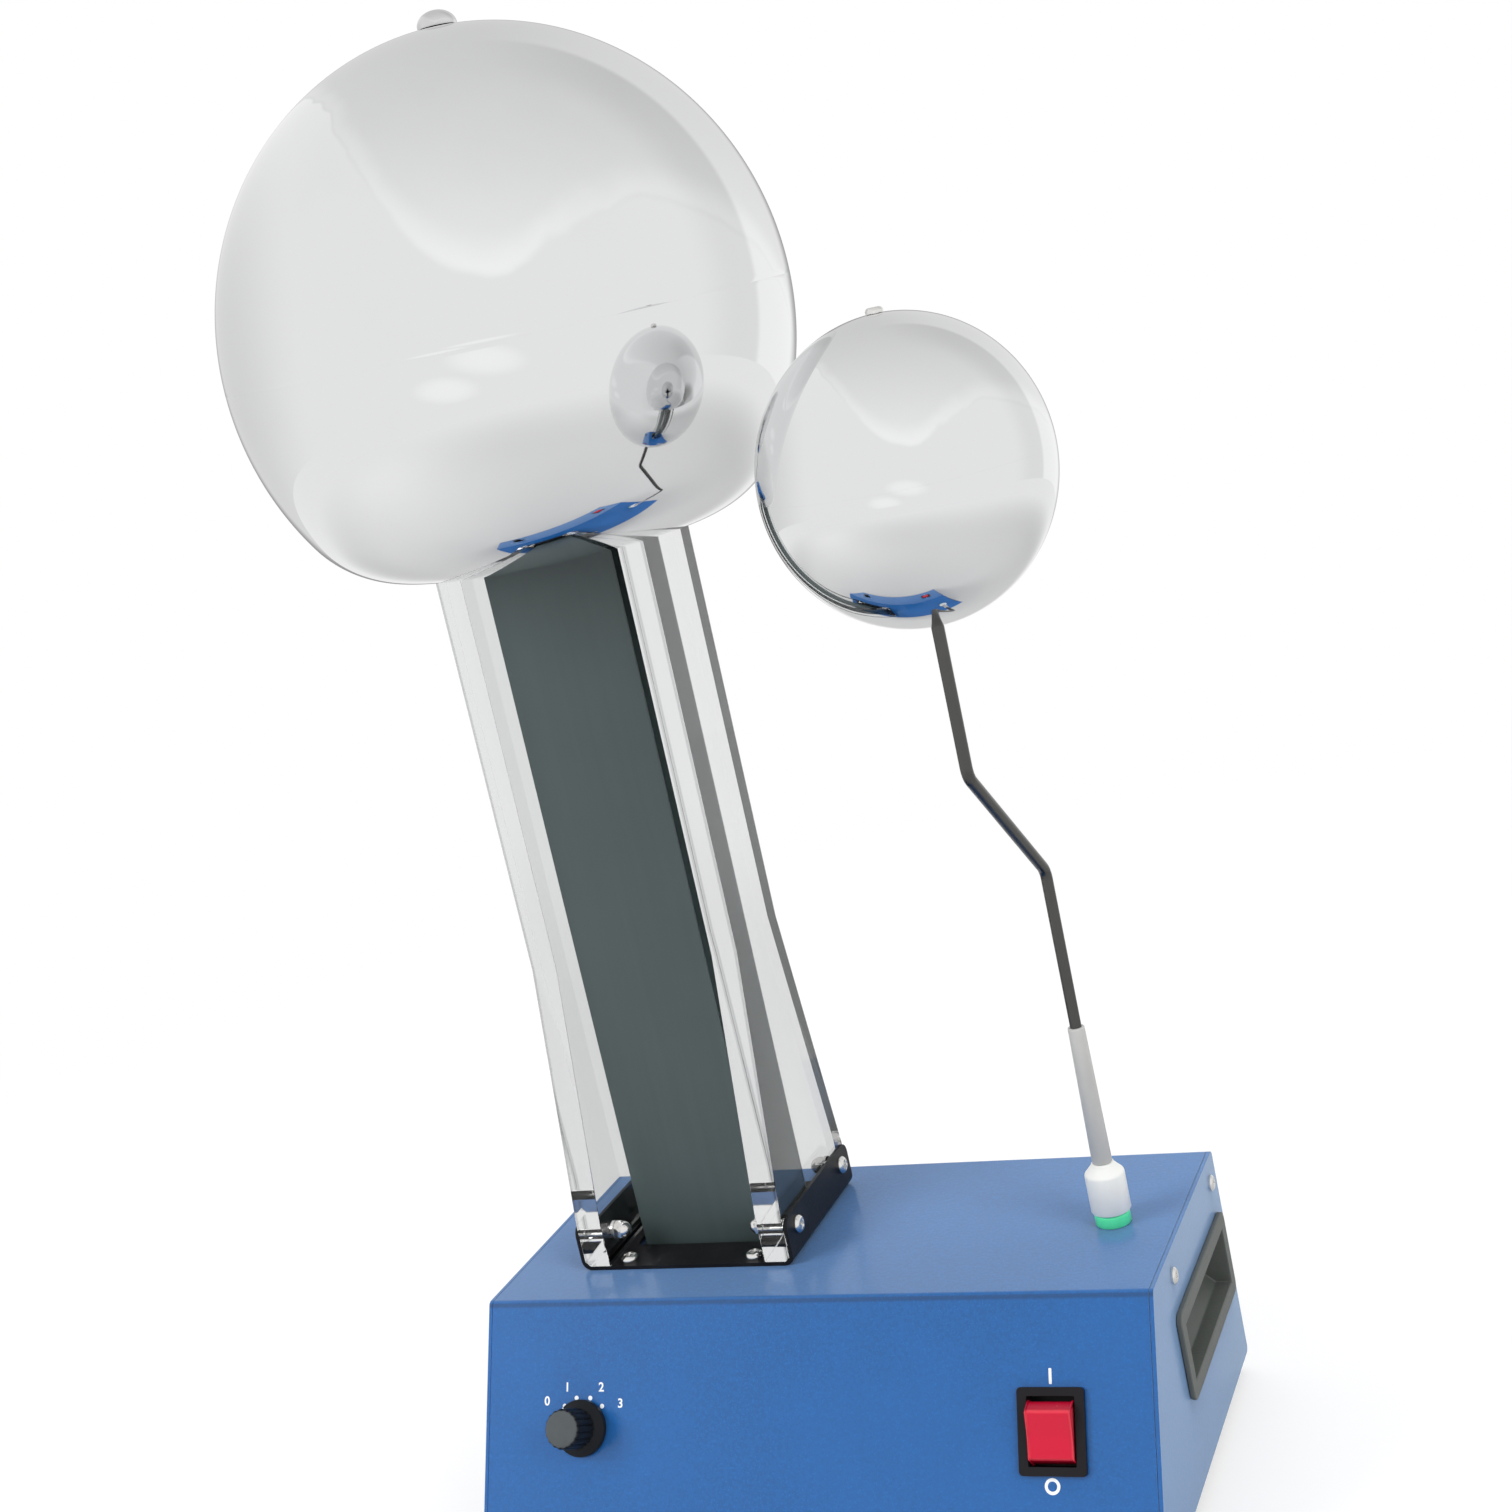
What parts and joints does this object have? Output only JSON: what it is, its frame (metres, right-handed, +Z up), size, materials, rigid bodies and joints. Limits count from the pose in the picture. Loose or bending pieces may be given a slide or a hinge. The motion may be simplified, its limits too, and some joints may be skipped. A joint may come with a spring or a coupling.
{
  "type": "van de graaff generator",
  "caption": "Motor-driven electrostatic generator: blue sheet-metal case, clear belt column, lift-off mirror dome and a plug-in discharge ball on a cranked rod.",
  "frame": {"origin": "middle of the whole outline, on the floor under the feet", "axes": "+Z up, -Y towards the slanted front panel, +X towards the discharge ball"},
  "size_m": [0.3287, 0.231, 0.5922],
  "materials": {
    "case_paint": "fine-textured blue enamel",
    "plated_sheet": "zinc-plated sheet",
    "bright_steel": "bright nickel plate",
    "foot_rubber": "matt black rubber",
    "handle_plastic": "moulded dark grey plastic",
    "black_plastic": "moulded black plastic",
    "contact_metal": "plated brass",
    "ground_steel": "ground steel",
    "knob_plastic": "satin black plastic",
    "rocker_red": "translucent red plastic",
    "bracket_black": "satin black enamel",
    "clear_acrylic": "clear cast acrylic with polished edges",
    "belt_rubber": "smooth dark grey rubber",
    "roller_white": "turned white plastic",
    "roller_dark": "turned dark plastic",
    "seat_aluminium": "satin aluminium",
    "motor_shell": "black enamel",
    "board_green": "solder-masked laminate",
    "board_parts": "mixed moulded parts",
    "white_nylon": "natural nylon",
    "polished_dome": "mirror-polished spun steel",
    "socket_green": "green plastic",
    "plug_white": "white plastic",
    "rod_steel": "bright drawn steel"
  },
  "bodies": {
    "base": {"case_cover": "case_paint", "side_panel_left": "case_paint", "side_panel_right": "case_paint", "bottom_plate": "plated_sheet", "case_screws": "bright_steel", "rubber_feet": "foot_rubber", "foot_screws": "bright_steel", "carry_handle_left": "handle_plastic", "carry_handle_right": "handle_plastic", "power_inlet": "black_plastic", "inlet_pins": "contact_metal", "inlet_screws": "bright_steel", "speed_switch": "black_plastic", "switch_nut": "bright_steel", "rocker_housing": "black_plastic", "base_bracket": "bracket_black", "bracket_screws": "bright_steel", "plate_left": "clear_acrylic", "plate_right": "clear_acrylic", "plate_screws": "bright_steel", "plate_nuts": "bright_steel", "drive_belt": "belt_rubber", "upper_axle": "ground_steel", "axle_spacers": "roller_white", "axle_nuts": "bright_steel", "dome_seat": "seat_aluminium", "comb_bracket": "seat_aluminium", "upper_comb": "contact_metal", "drive_frame": "plated_sheet", "motor": "motor_shell", "motor_screws": "bright_steel", "shaft_bearing": "ground_steel", "lower_comb_bracket": "seat_aluminium", "lower_comb": "contact_metal", "control_board": "board_green", "board_parts": "board_parts", "board_standoffs": "white_nylon", "socket_collar": "socket_green", "socket_contact": "contact_metal", "socket_nut": "bright_steel"},
    "dome": {"dome_lower": "polished_dome", "dome_upper": "polished_dome", "dome_finial": "bright_steel", "finial_nut": "bright_steel"},
    "knob": {"speed_spindle": "ground_steel", "speed_knob": "knob_plastic"},
    "rocker": {"power_rocker": "rocker_red"},
    "drive": {"drive_shaft": "ground_steel", "lower_roller": "roller_dark"},
    "top_roller": {"upper_roller": "roller_white", "upper_bearings": "ground_steel"},
    "plug": {"plug_spring": "contact_metal"},
    "discharger": {"plug_pin": "contact_metal", "plug_body": "plug_white", "rod_sleeve": "plug_white", "discharge_rod": "rod_steel", "ball_lower": "polished_dome", "ball_upper": "polished_dome", "ball_screw": "bright_steel"}
  },
  "joints": [
    {"name": "dome_lift", "type": "slide", "parent": "base", "child": "dome", "axis": [0, 0, 1], "range_m": [0, 0.11]},
    {"name": "speed_turn", "type": "hinge", "parent": "base", "child": "knob", "pos_m": [-0.09005, -0.07946, 0.05575], "axis": [0, -0.8659, 0.5003], "range_deg": [-90, 0]},
    {"name": "power_rock", "type": "hinge", "parent": "base", "child": "rocker", "pos_m": [0.10165, -0.07687, 0.05425], "axis": [1, 0, 0], "range_deg": [-22, 0]},
    {"name": "drive_spin", "type": "hinge", "parent": "base", "child": "drive", "pos_m": [-0.05535, 0.00655, 0.05], "axis": [1, 0, 0], "continuous": true},
    {"name": "top_roller_spin", "type": "hinge", "parent": "base", "child": "top_roller", "pos_m": [-0.05535, 0.00655, 0.443], "axis": [1, 0, 0], "continuous": true},
    {"name": "plug_pull", "type": "slide", "parent": "base", "child": "plug", "axis": [0, 0, 1], "range_m": [0, 0.022]},
    {"name": "rod_turn", "type": "hinge", "parent": "plug", "child": "discharger", "pos_m": [0.11435, -0.00055, 0.098], "axis": [0, 0, 1], "range_deg": [-20, 190]}
  ],
  "couplings": [
    {"joint": "top_roller_spin", "follows": "drive_spin", "ratio": 1}
  ]
}
